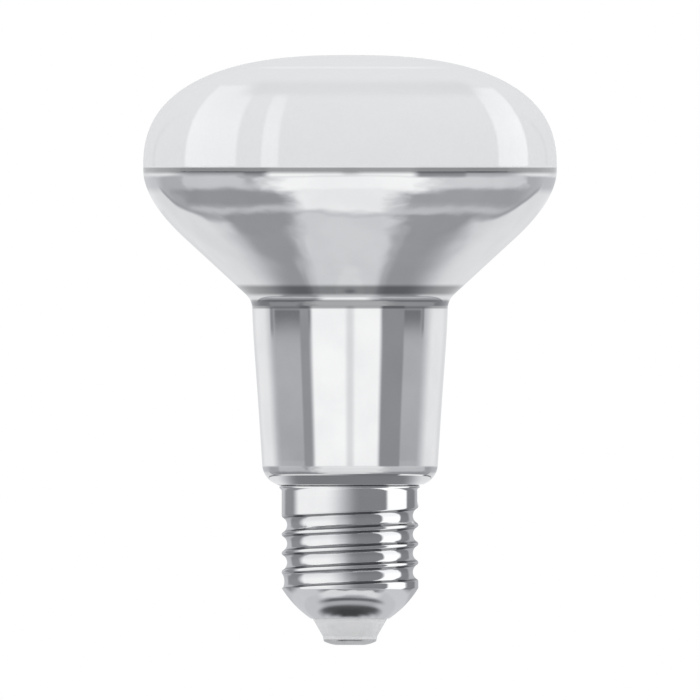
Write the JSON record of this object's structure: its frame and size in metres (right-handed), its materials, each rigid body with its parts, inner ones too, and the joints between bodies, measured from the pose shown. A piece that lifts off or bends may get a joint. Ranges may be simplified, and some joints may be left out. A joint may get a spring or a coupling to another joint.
{
  "type": "reflector bulb",
  "caption": "Reflector lamp with a frosted domed front, a mirrored glass cone and neck, and a screw cap with an insulated centre contact.",
  "frame": {"origin": "centre of the flat tip of the centre contact, the lowest point of the lamp", "axes": "+Z along the lamp's axis, from the cap towards the dome; the thread's top groove crosses the +X side"},
  "size_m": [0.08, 0.08, 0.114],
  "materials": {
    "envelope_glass": "gloss glass, frosted white on the front dome, silvered like a mirror behind the widest line",
    "cap_metal": "bright satin sheet metal",
    "insulator_plastic": "semi-gloss pale grey",
    "contact_metal": "bright tinned metal"
  },
  "bodies": {
    "root": {"glass_envelope": "envelope_glass", "screw_shell": "cap_metal", "base_insulator": "insulator_plastic", "centre_contact": "contact_metal"}
  },
  "joints": []
}
